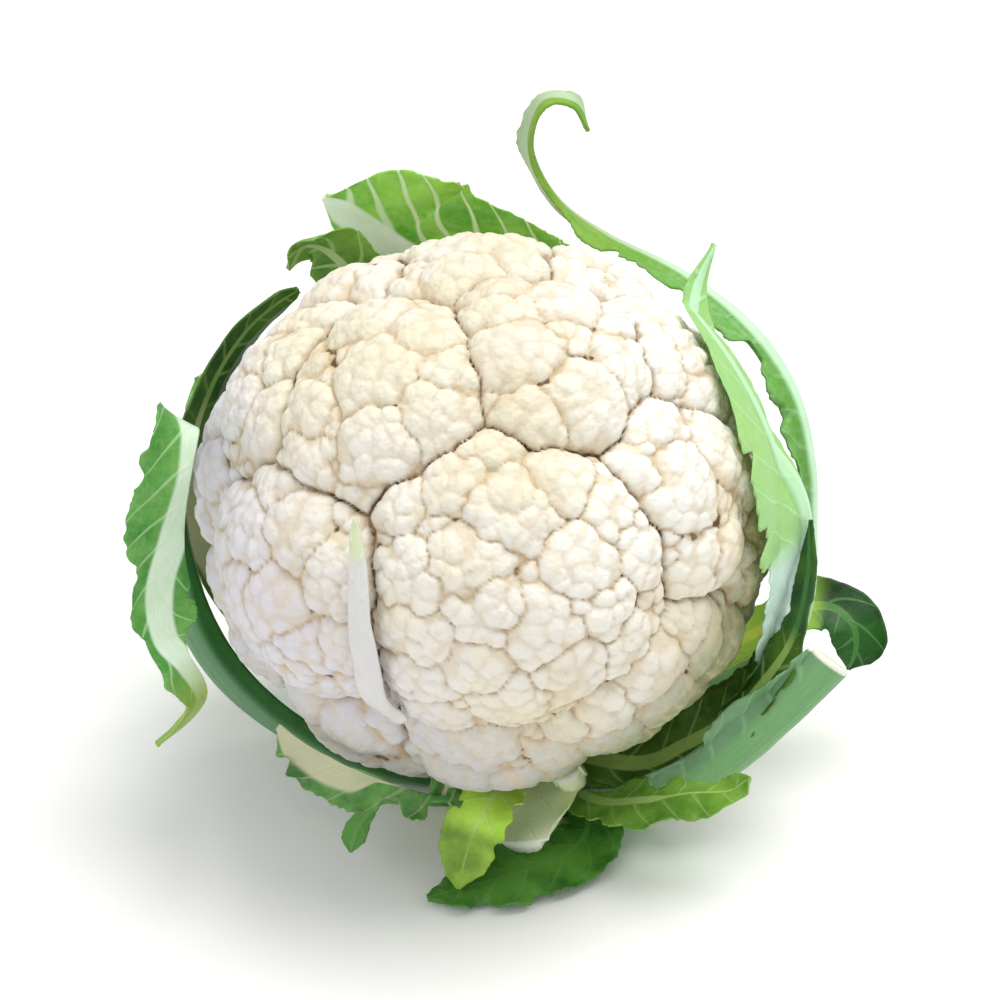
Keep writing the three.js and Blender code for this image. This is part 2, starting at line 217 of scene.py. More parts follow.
viewSettings = {
    "aim": (-0.001, 0.0, 0.102),
    "place": (-0.001, -0.537, 0.412),
    "lens": 76.8,
    "keyPlace": (0.8, 0.2, 2.9),
    "keySize": 2.0,
    "keyPower": 74.0,
    "fillPlace": (-1.4, -1.7, 2.0),
    "fillSize": 1.8,
    "fillPower": 20.0,
    "skyColour": (0.98, 0.99, 1.0),
    "skyStrength": 0.56,
    "floorColour": (0.95, 0.95, 0.94),
    "floorSize": 4.0,
    "keyColour": (1.0, 0.98, 0.94),
    "fillColour": (0.96, 0.97, 1.0),
}


def aimAt(thing, place, target):
    thing.location = place
    direction = Vector(target) - Vector(place)
    thing.rotation_euler = direction.to_track_quat("-Z", "Y").to_euler()


def addLamp(name, place, size, power, colour):
    lamp = bpy.data.lights.new(name, "AREA")
    lamp.size = size
    lamp.energy = power
    lamp.color = colour
    holder = bpy.data.objects.new(name, lamp)
    bpy.context.scene.collection.objects.link(holder)
    aimAt(holder, place, viewSettings["aim"])


def makeStudio():
    v = viewSettings
    scene = bpy.context.scene
    camera = bpy.data.objects.new("camera", bpy.data.cameras.new("camera"))
    camera.data.lens = v["lens"]
    camera.data.sensor_width = 36.0
    scene.collection.objects.link(camera)
    aimAt(camera, v["place"], v["aim"])
    scene.camera = camera
    scene.view_settings.view_transform = "Standard"

    addLamp("key", v["keyPlace"], v["keySize"], v["keyPower"], v["keyColour"])
    addLamp("fill", v["fillPlace"], v["fillSize"], v["fillPower"], v["fillColour"])

    world = bpy.data.worlds.new("sky")
    world.use_nodes = True
    sky = world.node_tree.nodes["Background"]
    sky.inputs["Color"].default_value = (*v["skyColour"], 1)
    sky.inputs["Strength"].default_value = v["skyStrength"]
    scene.world = world

    bm = bmesh.new()
    bmesh.ops.create_grid(bm, x_segments=1, y_segments=1, size=v["floorSize"])
    floor = finishPiece(bm, "floor")
    material, nodes, _ = newMaterial("paleFloor")
    shader = nodes["Principled BSDF"]
    shader.inputs["Base Color"].default_value = (*v["floorColour"], 1)
    shader.inputs["Roughness"].default_value = 0.9
    shader.inputs["Specular IOR Level"].default_value = 0.1
    floor.data.materials.append(material)


makeStudio()
print("studio ready")


# Curd

curdShape = {
    "cuts": 127,
    "lobeRelief": 0.45,
    "floretCount": 240,
    "floretNudge": 0.17,
    "floretRound": 14.0,
    "floretPit": 9.0,
    "floretRelief": 0.3,
    "floretGroove": 0.7,
    "floretSharp": 0.3,
    "branchGroove": 1.6,
    "branchSharp": 0.7,
    "budCount": 2400,
    "budNudge": 0.06,
    "budRound": 4.6,
    "budPit": 2.2,
    "budRelief": 0.6,
    "grainCount": 8000,
    "grainNudge": 0.02,
    "grainRound": 2.5,
    "grainRelief": 0.35,
    "budsTried": 10,
    "floretCrease": 0.38,
    "branchCrease": 0.65,
    "budCrease": 0.28,
    "corner": 0.5,
    "bendSize": 10.0,
    "bend": 2.0,
    "crowd": (0.0, -0.2, 0.25),
    "far": 9.0,
    "underRim": 50.0,
    "underRib": 12.0,
    "bractRoom": (0.0, 2.6),
    "stemTop": 50.0,
    "stemTopRadius": 27.0,
    "branchCount": 9,
}

# The main branches: degrees round from the front, degrees up, and radius.
lobes = [
    (8, 10, 82), (-46, 5, 55), (-46, 55, 54), (46, 66, 50), (60, 24, 48), (42, -26, 56), (5, -48, 52),
    (-42, -50, 44), (84, -2, 50), (66, -26, 46), (100, 14, 48), (82, -26, 42), (-98, 10, 48),
    (-84, -28, 46), (86, 44, 50), (-84, 40, 50), (180, 68, 54), (140, 56, 46), (-130, 50, 46),
    (140, 10, 48), (180, 22, 48), (-140, 12, 48), (125, -28, 42), (-125, -28, 42), (165, -26, 42),
    (-165, -26, 42),
]

# Branches that have grown into another, with no cleft between them.
grownInto = {5: 0, 6: 0, 9: 5}

bractLine = [
    (-28, -67, 73), (-34, -75, 85), (-36, -77.5, 98), (-37, -76.5, 110), (-37.5, -72, 124), (-38, -66.5, 135),
]


def branchDrops(points):
    # one column for each branch: how far its dome has dropped at each point
    columns = []
    for turn, rise, radius in lobes:
        a, e = math.radians(turn), math.radians(rise)
        top = np.array([math.sin(a) * math.cos(e), -math.cos(a) * math.cos(e), math.sin(e)]) * headRadius
        away = np.linalg.norm(points - top, axis=1)
        columns.append(domeDrop(radius, away) - np.maximum(0, away - radius))
    return np.stack(columns, axis=1)


def nearestOf(tops, points, count):
    # for each point, the count nearest tops and how far they are
    tree = kdtree.KDTree(len(tops))
    for i, top in enumerate(tops):
        tree.insert(top, i)
    tree.balance()
    hits = [tree.find_n(p, count) for p in points]
    indices = np.array([[hit[1] for hit in row] for row in hits])
    return indices, np.array([[hit[2] for hit in row] for row in hits])


def makeCurd():
    s = curdShape
    bm = bmesh.new()
    bmesh.ops.create_cube(bm, size=2.0)
    bmesh.ops.subdivide_edges(bm, edges=bm.edges[:], cuts=s["cuts"], use_grid_fill=True)
    curd = finishPiece(bm, "curdFlorets")
    cube = getPlaces(curd.data)
    # more of the faces go to the front and top, which show the finest knobs
    ball = unit(unit(np.tan(cube * math.pi / 4)) + s["crowd"])
    skin = ball * headRadius
    out = unit(skin / headRadius ** 2)

    # florets, and the buds that make each floret knobbly
    floretTops = spiral(s["floretCount"], s["floretNudge"], 0) * headRadius
    floretSize = s["floretRound"] * (0.8 + 0.5 * scatter(np.arange(s["floretCount"]), 4))
    floretBranch = branchDrops(floretTops).argmax(axis=1)
    budTops = spiral(s["budCount"], s["budNudge"], 50) * headRadius
    budDrops = branchDrops(budTops)
    reach = np.linalg.norm(budTops[:, None] - floretTops[None], axis=2)
    floretHeight = s["floretRelief"] * np.maximum(domeDrop(floretSize, reach), -s["floretPit"])
    budFloret = (s["lobeRelief"] * budDrops[:, floretBranch] + floretHeight).argmax(axis=1)
    knobs = 0.5 + 0.7 * scatter(np.arange(s["floretCount"]), 7)
    budSize = s["budRound"] * (0.8 + 0.5 * scatter(np.arange(s["budCount"]), 9))

    # points are looked up a little off their place, so that no crease runs straight
    wander = np.stack([noiseAt(skin, s["bendSize"], k) for k in (1, 2, 3)], axis=1)
    wanderFine = np.stack([noiseAt(skin, s["bendSize"] / 3, k) for k in (4, 5, 6)], axis=1)
    asked = skin + s["bend"] * (wander + 0.45 * wanderFine)
    drops = branchDrops(skin)
    found = nearestOf(budTops, asked, s["budsTried"])[0]
    rows = np.arange(len(skin))
    heights = []
    for k in range(s["budsTried"]):
        bud = found[:, k]
        floret = budFloret[bud]
        fromFloret = np.linalg.norm(skin - floretTops[floret], axis=1)
        base = s["lobeRelief"] * drops[rows, floretBranch[floret]]
        base += s["floretRelief"] * np.maximum(domeDrop(floretSize[floret], fromFloret), -s["floretPit"])
        fromBud = np.linalg.norm(asked - budTops[bud], axis=1)
        knob = np.maximum(domeDrop(budSize[bud], fromBud), -s["budPit"])
        heights.append(base + s["budRelief"] * knobs[floret] * knob)
    heights = np.stack(heights, axis=1)
    best = heights.argmax(axis=1)
    height = heights[rows, best]
    mine = budFloret[found[rows, best]][:, None]
    theirs = budFloret[found]
    gapTo = height[:, None] - heights
    second = np.where(theirs == mine, s["far"], gapTo)
    floretGap = second.min(axis=1)
    nextTo = theirs[rows, second.argmin(axis=1)][:, None]
    cornerGap = np.where(theirs == nextTo, s["far"], second).min(axis=1)
    cleftBranch = np.array([grownInto.get(i, i) for i in floretBranch])
    otherBranch = cleftBranch[theirs] != cleftBranch[mine]
    branchGap = np.where(otherBranch, gapTo, s["far"]).min(axis=1)
    gapTo[rows, best] = s["far"]
    budGap = gapTo.min(axis=1)

    fromAxis = np.hypot(skin[:, 0], skin[:, 1])
    under = np.where(skin[:, 2] < 0, 1 - smoothStep(fromAxis, s["stemTopRadius"], s["underRim"]), 0)
    # the finest grains, on top of everything
    grainTops = spiral(s["grainCount"], s["grainNudge"], 90) * headRadius
    fromGrain = nearestOf(grainTops, asked, 1)[1][:, 0]
    height += s["grainRelief"] * domeDrop(s["grainRound"], fromGrain)
    height -= s["floretGroove"] * np.exp(-floretGap / s["floretSharp"])
    height -= s["branchGroove"] * np.exp(-branchGap / s["branchSharp"])
    places = skin + out * (height * (1 - under))[:, None]
    bract = throughPoints(np.array(bractLine) - headMiddle, np.linspace(0, 1, 41))
    fromBract = np.linalg.norm(places[:, None] - bract[None], axis=2)
    # less room at the bract's foot, which goes in behind the main branch
    room = np.interp(fromBract.argmin(axis=1), (0, 12), s["bractRoom"])
    hollow = np.where(under == 0, np.maximum(0, room - fromBract.min(axis=1)), 0)
    places -= out * hollow[:, None]
    around = np.arctan2(places[:, 1], places[:, 0])
    rib = s["underRib"] * np.cos(s["branchCount"] * around) * under * (1 - under)
    places[:, 2] += (s["stemTop"] - headMiddle[2] - places[:, 2]) * under + rib
    setPlaces(curd.data, places + headMiddle)

    for label, gap in (("floretCrease", floretGap), ("branchCrease", branchGap), ("budCrease", budGap),
                       ("corner", cornerGap)):
        paint(curd.data, label, np.exp(-(gap / s[label]) ** 1.5))
    paint(curd.data, "under", under)
    return curd


curdLook = {
    "cream": (0.75, 0.70, 0.54),
    "white": (0.79, 0.76, 0.69),
    "warm": (0.78, 0.69, 0.45),
    # painted highlight
    "bright": (0.93, 0.92, 0.88),
    "yellow": (0.80, 0.66, 0.34),
    # painted shade: cool on the left, grey low down, brown-green low on the right
    "cool": (0.66, 0.64, 0.72),
    "low": (0.47, 0.47, 0.44),
    "shade": (0.21, 0.24, 0.09),
    # darker in the creases: tan between buds and florets, partly the curd's own tone and partly painted
    # shade; dark brown painted shade in the clefts and in spots
    "crease": (0.52, 0.36, 0.17),
    "cleft": (0.24, 0.13, 0.045),
    "budCrease": (0.64, 0.53, 0.36),
    "speck": (0.13, 0.075, 0.03),
    "branch": (0.66, 0.72, 0.42),
}


def curdMaterial():
    material, nodes, links = newMaterial("curdCream")
    tree = material.node_tree
    shader = nodes["Principled BSDF"]
    place = addNode(nodes, "ShaderNodeTexCoord").outputs["Object"]
    split = addNode(nodes, "ShaderNodeSeparateXYZ")
    links.new(place, split.inputs[0])
    across, up = split.outputs["X"], split.outputs["Z"]
    broad = noiseNode(tree, place, 22.0, 2.0)
    patch = noiseNode(tree, place, 75.0, 3.0)
    grit = noiseNode(tree, place, 420.0, 2.0)
    floretCrease = readAttribute(tree, "floretCrease")
    branchCrease = readAttribute(tree, "branchCrease")
    colour = mixColour(tree, rampNode(tree, broad, 0.38, 0.62), curdLook["white"], curdLook["cream"])
    colour = mixColour(tree, rampNode(tree, patch, 0.5, 0.75, 0.0, 0.35), colour, curdLook["warm"])
    colour = mixColour(tree, rampNode(tree, grit, 0.45, 0.8, 0.0, 0.3), colour, curdLook["cream"])
    # painted highlight, brightest on the upper left and right
    aside = mathNode(tree, "ABSOLUTE", mathNode(tree, "ADD", across, 0.025))
    highlightSides = rampNode(tree, aside, 0.025, 0.06, 0.0, 0.7)
    bright = mathNode(tree, "MULTIPLY", rampNode(tree, up, 0.09, 0.13), highlightSides)
    colour = mixColour(tree, bright, colour, curdLook["bright"])
    # yellower in patches on the right side, under the curled leaf
    patches = rampNode(tree, patch, 0.4, 0.6, 0.2, 0.8)
    yellowSide = mathNode(tree, "MULTIPLY", rampNode(tree, across, 0.05, 0.068), patches)
    yellowSide = mathNode(tree, "MULTIPLY", yellowSide, rampNode(tree, up, 0.06, 0.095))
    colour = mixColour(tree, yellowSide, colour, curdLook["yellow"])
    # painted shade: cooler low on the left, brown-green low on the right and darker under the rim
    leftLowShade = mathNode(tree, "MULTIPLY_ADD", across, -0.7, mathNode(tree, "MULTIPLY", up, -0.6))
    colour = mixColour(tree, rampNode(tree, leftLowShade, -0.055, -0.015, 0.0, 0.85), colour, curdLook["cool"])
    colour = mixColour(tree, rampNode(tree, up, 0.045, 0.085, 0.8, 0.0), colour, curdLook["low"])
    rightLowShade = mathNode(tree, "SUBTRACT", across, up)
    colour = mixColour(tree, rampNode(tree, rightLowShade, -0.05, -0.016, 0.0, 0.9), colour, curdLook["shade"])
    # painted shade along the creases: tan between buds and florets, partly the curd's own tone, and dark in
    # the clefts between branches
    bud = mathNode(tree, "MULTIPLY", readAttribute(tree, "budCrease"), 0.5)
    colour = mixColour(tree, bud, colour, curdLook["budCrease"])
    colour = mixColour(tree, mathNode(tree, "MULTIPLY", floretCrease, 0.7), colour, curdLook["crease"])
    colour = mixColour(tree, mathNode(tree, "MULTIPLY", branchCrease, 0.8), colour, curdLook["cleft"])
    # painted shade in dark spots, mostly where three florets meet
    spots = rampNode(tree, noiseNode(tree, place, 150.0, 2.0), 0.5, 0.57)
    deepest = mathNode(tree, "MAXIMUM", readAttribute(tree, "corner"), branchCrease)
    speck = mathNode(tree, "MULTIPLY", spots, rampNode(tree, deepest, 0.28, 0.7))
    colour = mixColour(tree, speck, colour, curdLook["speck"])
    colour = mixColour(tree, readAttribute(tree, "under"), colour, curdLook["branch"])
    links.new(colour, shader.inputs["Base Color"])

    grain = addNode(nodes, "ShaderNodeTexVoronoi", feature="SMOOTH_F1")
    grain.inputs["Scale"].default_value = 620.0
    grain.inputs["Smoothness"].default_value = 0.35
    links.new(place, grain.inputs["Vector"])
    grains = mathNode(tree, "SUBTRACT", 1.0, grain.outputs["Distance"])
    normal = bumpNode(tree, grains, 0.6, 0.0005)
    normal = bumpNode(tree, noiseNode(tree, place, 1400.0, 2.0), 0.25, 0.0002, normal)
    links.new(normal, shader.inputs["Normal"])
    shader.inputs["Roughness"].default_value = 0.6
    shader.inputs["Specular IOR Level"].default_value = 0.35
    shader.inputs["Subsurface Weight"].default_value = 0.2
    shader.inputs["Subsurface Radius"].default_value = (1.0, 0.85, 0.6)
    shader.inputs["Subsurface Scale"].default_value = 0.002
    return material


curd = makeCurd()
curd.data.materials.append(curdMaterial())
standFor(curd, "curd")
print("curd done:", len(curd.data.polygons), "faces")


# Leaves: stations from the stem to the tip, each its place, the width to the left and right, and the twist.

leafShape = {
    "focus": 85.0,
    "blade": 1.0,
    "leastBlade": 0.8,
    "leastEdge": 0.4,
    "toothSize": 2.6,
    "tearSize": 7.0,
    "veinSpacing": 9.0,
    "veinSlant": 0.95,
    "veinCurve": 0.012,
    "veinRidge": 0.45,
    "ridgeWidth": 0.9,
    "ribGrooves": 0.25,
    "waveRoom": 8.0,
    "crumpleSize": 7.0,
    "tip": 0.07,
    "edgeNotch": 0.22,
    "layOn": (1.2, 1.2),
    "underRim": 50.0,
}

bractWidths = [3, 3.8, 4, 3.6, 2.6, 1.2]
leaves = {
    "bract": {
        "rib": (2, 0.8), "depth": (1.6, 1), "cup": 12, "aim": 1, "wave": (0, 1), "look": "bract",
        "layOn": (-9.5, -6.2),
        "stations": [(*point, width, width, 0) for point, width in zip(bractLine, bractWidths)],
        "grid": (90, 20), "teeth": 0.0, "crinkle": 0.1,
    },
    "leaf_left_folded": {
        "rib": (11, 2), "depth": (8, 1.6), "cup": 10, "aim": 0.3, "wave": (1.5, 6), "look": "pale",
        "stations": [
            (4, -2, 13, 9, 9, 0), (-24, -1, 8.2, 12, 11, 12), (-50, -8, 20, 14, 10, 30),
            (-75, -10, 41, 13, 9, 38), (-90, -4, 60, 11, 8, 45), (-95, 3, 82, 10, 8, 55),
            (-95, 4, 106, 8, 8, 75), (-91, -3, 126, 9, 8, 80), (-86, -14, 133, 15, 10, 80),
            (-87, -23, 122, 20, 11, 78), (-93, -28, 106, 17, 12, 75), (-98, -31, 90, 11, 14, 75),
            (-97, -34, 76, 7, 13, 70), (-91, -36, 68, 10, 4, 65), (-87, -37, 58, 8, 3, 60),
            (-93, -37, 48, 3, 3, 60), (-100, -37, 41, 1.5, 2, 60),
        ],
        "ribShown": (1.25, 1.15), "ribShift": (4, -1.5), "grid": (520, 40), "teeth": 0.2, "crinkle": 0.6,
    },
    "leaf_left_upper": {
        "rib": (10, 2), "depth": (6, 2), "cup": 20, "aim": 1, "wave": (1.5, 4), "look": "shade",
        "stations": [
            (1, 8, 30, 8, 8, 0), (-32, 22, 20, 12, 12, 0), (-75, 28, 42, 12, 12, -10),
            (-95, 27, 78, 10, 8, -25), (-93, 24, 106, 12, 7, -40), (-86, 27, 126, 16, 6, -40),
            (-77, 33, 139, 15, 5, -40), (-69, 39, 145, 10, 3, -40), (-61, 46, 148, 4, 2, -40),
        ],
        "ribShown": (1, 0.2), "grid": (320, 36), "teeth": 0.08, "crinkle": 0.6,
    },
    "leaf_back_small": {
        "rib": (8, 2), "depth": (5, 1.6), "cup": 15, "aim": 1, "wave": (2, 5), "look": "green",
        "stations": [
            (-1, 14, 22, 7, 7, 0), (-21, 52, 20, 10, 10, 0), (-41, 80, 56, 12, 12, 0),
            (-45, 82, 105, 13, 12, 0), (-47, 75, 136, 15, 12, 0), (-53, 72, 148, 13, 11, 0),
            (-61, 71, 151, 8, 9, 0), (-66, 69, 144, 3, 4, 0),
        ],
        "ribShown": (0.4, 0.4), "veinShown": 0.8, "veinWide": 1.3, "grid": (260, 36), "teeth": 0.1,
        "crinkle": 0.6,
    },
    "leaf_back_top": {
        "rib": (10, 5), "depth": (7, 4), "cup": 12, "aim": 1, "wave": (2, 5), "look": "bright",
        "stations": [
            (3, 12, 20, 8, 8, 0), (3, 54, 18, 14, 14, 0), (2, 92, 46, 24, 14, 0), (-4, 100, 84, 34, 12, 0),
            (-13, 97, 113, 48, 12, 0), (-25, 91, 134, 46, 12, 0), (-36, 88, 144, 40, 11, 0),
            (-46, 86, 153, 31, 9, 0), (-56, 86, 161, 12, 6, 0),
        ],
        "veinShown": 0.95, "veinWide": 1.9, "veinWander": 0.42, "grid": (320, 60), "teeth": 0.06,
        "crinkle": 0.8,
    },
    "leaf_right_outer": {
        "rib": (10, 1.4), "depth": (7, 1.4), "cup": 20, "aim": 0.68, "wave": (1.5, 9), "look": "mint",
        "stations": [
            (8, 8, 12, 9, 9, 0), (46, 22, 12, 11, 11, 0), (76, 24, 24, 12, 10, 0), (87, 18, 43, 10, 8, 0),
            (90, 12, 64, 9, 7, 0), (89, 10, 88, 9, 6, -10), (87, 9, 110, 12, 5, -15),
            (82, 15, 129, 14, 5, -20), (71, 26, 143, 13, 4, -25), (53, 43, 152, 12, 3, -25),
            (30, 62, 157, 10, 3, -20), (15, 70, 166, 6, 3, -10), (7, 73, 182, 3, 6, 0),
            (11, 73, 197, 6, 4, 0), (21, 73, 197, 3, 4, 0), (26, 73, 188, 2, 3, 0),
        ],
        "ribShown": (1.3, 1.2), "ribShift": (-3, -2), "veinShown": 0.15, "grid": (560, 30), "teeth": 0.42,
        "crinkle": 1.0,
    },
    "leaf_right_inner": {
        "rib": (7, 1), "depth": (4, 1.2), "cup": 30, "aim": 1, "wave": (0.8, 7), "look": "lime",
        "stations": [
            (10, -4, 34, 8, 8, 0), (46, -12, 32, 10, 10, 0), (69, -19, 48, 14, 9, 0),
            (78, -18, 69, 16, 7, -5), (83, -17, 88, 24, 6, -10), (85, -16, 102, 32, 5, -15),
            (82, -16, 114, 36, 6, -20), (75, -15, 125, 35, 8, -25), (66, -11, 135, 28, 13, -30),
            (58, -5, 144, 18, 14, -35), (53, 3, 153, 9, 10, -35), (54, 13, 163, 4, 5, -20),
            (59, 20, 174, 1.5, 2, 0),
        ],
        "veinShown": 0.35, "grid": (400, 44), "teeth": 0.2, "crinkle": 0.5,
    },
    "leaf_right_cut": {
        "rib": (11, 9.5), "depth": (8, 6), "cup": -25, "aim": 1, "wave": (1.5, 3), "look": "blue",
        "stations": [
            (8, -2, 14, 11, 11, -20), (36, -20, 15, 12, 11, -35), (58, -32, 31, 18, 11, -45),
            (77, -31, 49, 20, 11, -45), (93, -27, 66, 11, 11, -45),
        ],
        "ribShown": (0.8, 0.8), "grid": (160, 44), "teeth": 0.25, "crinkle": 0.4, "cutEnd": True,
    },
    "leaf_right_blade": {
        "rib": (5, 1.2), "depth": (4, 1.4), "cup": 10, "aim": 1, "wave": (1.5, 4), "look": "inner",
        "stations": [
            (8, -8, 22, 6, 5, 20), (38, -24, 25, 10, 10, 40), (54, -29, 36, 12, 14, 50),
            (67, -31, 48, 12, 13, 50), (77, -30, 62, 9, 9, 50), (83, -28, 74, 6, 7, 45),
            (86, -25, 91, 4, 5, 45), (86, -20, 107, 1.5, 2, 45),
        ],
        "ribShown": (0.6, 0.6), "grid": (240, 30), "teeth": 0.2, "crinkle": 0.6,
    },
    "leaf_right_far": {
        "rib": (8, 1.4), "depth": (6, 1.6), "cup": 25, "aim": 0.4, "wave": (1, 3), "look": "disc",
        "stations": [
            (8, 8, 24, 8, 8, 0), (54, 24, 27, 10, 10, 0), (79, 26, 38, 10, 10, 0), (93, 22, 50, 10, 10, 0),
            (102, 20, 52, 10, 10, 0), (108, 15, 49, 10, 10, 0), (109, 11, 43, 9, 9, 0),
            (107, 9, 36, 3, 4, 0),
        ],
        "ribShown": (0.4, 0.4), "grid": (240, 30), "teeth": 0.08, "crinkle": 0.5,
    },
    "leaf_low_right": {
        "rib": (4, 1), "depth": (3.5, 1.2), "cup": 12, "aim": 1, "wave": (1.5, 4), "look": "fresh",
        "face": (0, -0.5, 1),
        "stations": [
            (8, -8, 16, 6, 5, 0), (26, -29, 16, 8, 8, 0), (40, -43, 26, 11, 8, 0), (53, -50, 34, 10, 6, 0),
            (64, -54, 38, 7, 5, 0), (69, -56, 44, 2, 3, 0),
        ],
        "ribShown": (0.5, 0.15), "veinShown": 0.3, "grid": (180, 30), "teeth": 0.32, "crinkle": 1.0,
    },
    "leaf_low_front": {
        "rib": (4, 1), "depth": (3, 1.2), "cup": 8, "aim": 1, "wave": (1.2, 6), "look": "dark",
        "face": (0, -0.2, 1),
        "stations": [
            (12, -8, 8, 6, 6, 0), (25, -27, 7, 10, 12, 0), (21, -40, 6, 13, 14, 0), (9, -49, 6, 14, 13, 0),
            (-7, -55, 5, 10, 11, 0), (-22, -60, 4, 4, 4, 0),
        ],
        "ribShown": (0.3, 0.15), "veinShown": 0.25, "grid": (200, 36), "teeth": 0.25, "crinkle": 0.9,
    },
    "leaf_low_yellow": {
        "rib": (4, 1.2), "depth": (3, 1.2), "cup": 14, "aim": 1, "wave": (1.2, 3), "look": "yellow",
        "face": (0, -0.7, 0.7),
        "stations": [
            (7, -12, 24, 6, 6, 0), (2, -30, 26, 8, 8, 0), (-2, -43, 29, 10, 10, 0),
            (-7, -52, 26, 11, 10, 0), (-11, -57, 16, 9, 8, 0), (-13, -59, 6, 3, 4, 0),
        ],
        "ribShown": (0.4, 0.2), "veinShown": 0.35, "grid": (160, 34), "teeth": 0.25, "crinkle": 1.0,
    },
    "leaf_low_left": {
        "rib": (4, 4), "depth": (3, 2.4), "cup": 12, "aim": 1, "wave": (2.2, 5), "look": "torn",
        "face": (-0.1, -0.75, 0.6),
        "stations": [
            (3, -8, 24, 6, 6, 0), (-8, -35, 28, 7, 8, 0), (-20, -53, 39, 11, 10, 0),
            (-33, -60, 46, 14, 11, 0), (-49, -57, 49, 12, 10, 0), (-64, -45, 54, 8, 9, 0),
        ],
        "ribShown": (0.2, 1.3), "ribSwitch": (0.62, 0.72), "veinShown": 0.4, "grid": (200, 36), "teeth": 0.45,
        "crinkle": 1.7,
    },
    "leaf_low_tail": {
        "rib": (2.6, 1.2), "depth": (2.4, 1.2), "cup": 15, "aim": 1, "wave": (1, 3), "look": "dark",
        "face": (0.2, 0.7, 0.6),
        "stations": [
            (3, -14, 14, 4, 4, 0), (-12, -34, 20, 4, 4, 0), (-26, -49, 31, 4, 4, 0),
            (-35, -53, 34, 4, 4, 0), (-41, -55, 28, 4, 4, 0), (-44, -56, 18, 3.5, 3.5, 0),
        ],
        "ribShown": (0.4, 0.4), "veinShown": 0.3, "grid": (160, 20), "teeth": 0.3, "crinkle": 0.4,
    },
    "stub_front": {
        "rib": (10, 7), "depth": (8, 5), "cup": 10, "aim": 1, "wave": (0, 1), "look": "stalk",
        "stations": [
            (11, -10, 20, 13, 12, 0), (11, -32, 17, 14, 13, 0), (5, -46, 13, 11, 11, 0),
        ],
        "grid": (80, 36), "teeth": 0.05, "crinkle": 0.3, "cutEnd": True,
    },
    "stub_front_small": {
        "rib": (5, 4), "depth": (5, 4), "cup": 5, "aim": 1, "wave": (0, 1), "look": "stalk",
        "stations": [
            (14, -10, 22, 5, 5, 0), (20, -27, 22, 5, 5, 0), (18, -34, 30, 4.5, 4.5, 0),
        ],
        "grid": (60, 24), "teeth": 0.05, "crinkle": 0.2, "cutEnd": True,
    },
}

for number, (turn, top, lean) in enumerate([(140, 108, 10), (162, 116, 16), (-162, 124, 6), (-126, 112, 18)]):
    outX = math.sin(math.radians(turn))
    outY = -math.cos(math.radians(turn))
    rings = [(8, 14, 9, 9), (40, 12, 13, 13), (78, 26, 17, 17), (95, 60, 22, 22), (94, 94, 25, 24),
             (90 + lean, top, 14, 16)]
    leaves["leaf_back_" + str(number + 1)] = {
        "rib": (12, 4), "depth": (8, 3), "cup": 22, "aim": 1, "wave": (2, 5), "look": "back", "coarse": True,
        "stations": [
            (headMiddle[0] * min(1, height / 60) + outX * reach, outY * reach, height, left, right, 0)
            for reach, height, left, right in rings
        ],
        "grid": (200, 44), "teeth": 0.08, "crinkle": 0.8,
    }


def outsideCurd(points, spare):
    away = points - headMiddle
    low = (away[:, 2] < 0) & (np.hypot(away[:, 0], away[:, 1]) < leafShape["underRim"])
    depth = np.linalg.norm(away / (headRadius + spare), axis=1)
    inside = (depth < 1) & ~low
    moved = points.copy()
    moved[inside] = away[inside] / depth[inside][:, None] + headMiddle
    return moved


def leafFrames(leaf, rows):
    # for each row: the spine's place, where the upper side looks, the way to the left, and the widths
    t = np.linspace(0, 1, rows + 1)
    spine = [station[:3] for station in leaf["stations"]]
    sizes = throughPoints([station[3:] for station in leaf["stations"]], t)
    centre = throughPoints(spine, t)
    along = unit(throughPoints(spine, t + 0.0001) - throughPoints(spine, t - 0.0001))
    facing = np.empty_like(centre)
    held = None
    for i in range(rows + 1):
        if held is None or t[i] <= leaf["aim"]:
            toHead = headMiddle * (1, 1, 0) + (0, 0, leafShape["focus"]) - centre[i]
            held = np.array(leaf.get("face", toHead), float)
        held = unit(held - dot(held, along[i]) * along[i])
        facing[i] = held
    roll = np.radians(sizes[:, 2:3])
    normal = facing * np.cos(roll) + np.cross(along, facing) * np.sin(roll)
    return t, centre, normal, np.cross(along, normal), sizes


def edgeNotches(leaf, name, hand, t):
    # the same uneven edge as the solid's, row by row
    count = (1 if leaf.get("coarse") else 2) * (len(leaf["stations"]) - 1)
    rows = np.arange(count + 1)
    return leafShape["edgeNotch"] * np.interp(t * count, rows, scatter(rows, hand + len(name)))


